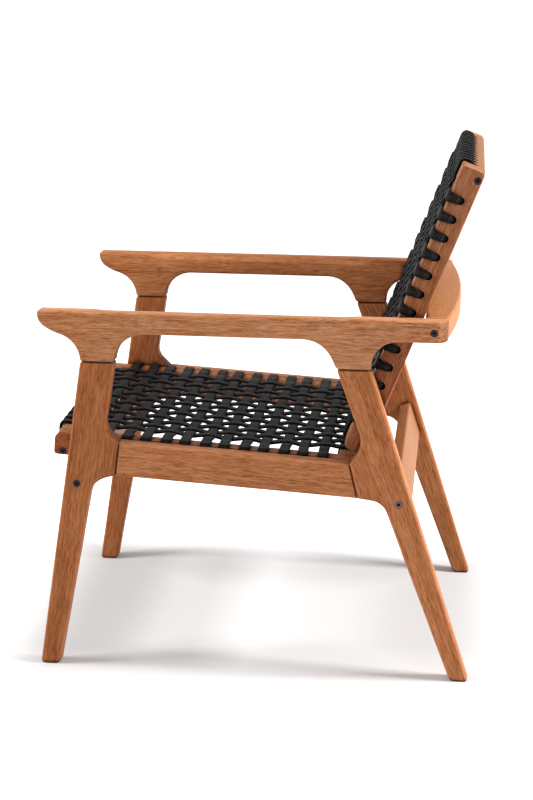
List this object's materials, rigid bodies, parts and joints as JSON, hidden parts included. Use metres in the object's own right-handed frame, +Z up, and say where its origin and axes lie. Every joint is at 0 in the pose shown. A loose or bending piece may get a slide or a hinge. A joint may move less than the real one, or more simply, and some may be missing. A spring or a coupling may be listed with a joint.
{
  "type": "armchair",
  "caption": "Low wooden lounge armchair with shaped legs and armrests, a sloped seat and a raked back, both woven in dark flat strap on slotted frames.",
  "frame": {"origin": "on the floor, under the middle of the chair's bounding box", "axes": "+Z is up, -Y is the front that the sitter faces, +X is the sitter's left"},
  "size_m": [0.56, 0.6816, 0.8121],
  "materials": {
    "hardwood": "oiled satin",
    "beech": "raw",
    "strap": "flat braid",
    "black_steel": "black oxide",
    "zinc": "zinc plated"
  },
  "bodies": {
    "root": {"arm_tenons": "beech", "back_bottom_rail": "hardwood", "back_cross_straps": "strap", "back_frame_screws": "black_steel", "back_long_straps": "strap", "back_panel_screws": "black_steel", "back_rail_bolts": "black_steel", "back_rail_dowels": "beech", "back_rail_inserts": "zinc", "back_top_rail": "hardwood", "curved_back_rail": "hardwood", "front_stretcher": "hardwood", "left_armrest": "hardwood", "left_back_stile": "hardwood", "left_front_leg": "hardwood", "left_rear_leg": "hardwood", "left_seat_side_member": "hardwood", "left_side_rail": "hardwood", "rear_stretcher": "hardwood", "right_armrest": "hardwood", "right_back_stile": "hardwood", "right_front_leg": "hardwood", "right_rear_leg": "hardwood", "right_seat_side_member": "hardwood", "right_side_rail": "hardwood", "seat_cross_straps": "strap", "seat_frame_screws": "black_steel", "seat_front_rail": "hardwood", "seat_long_straps": "strap", "seat_panel_screws": "black_steel", "seat_rear_rail": "hardwood", "side_rail_tenons": "beech", "stretcher_bolts": "black_steel", "stretcher_dowels": "beech", "stretcher_inserts": "zinc"}
  },
  "joints": []
}
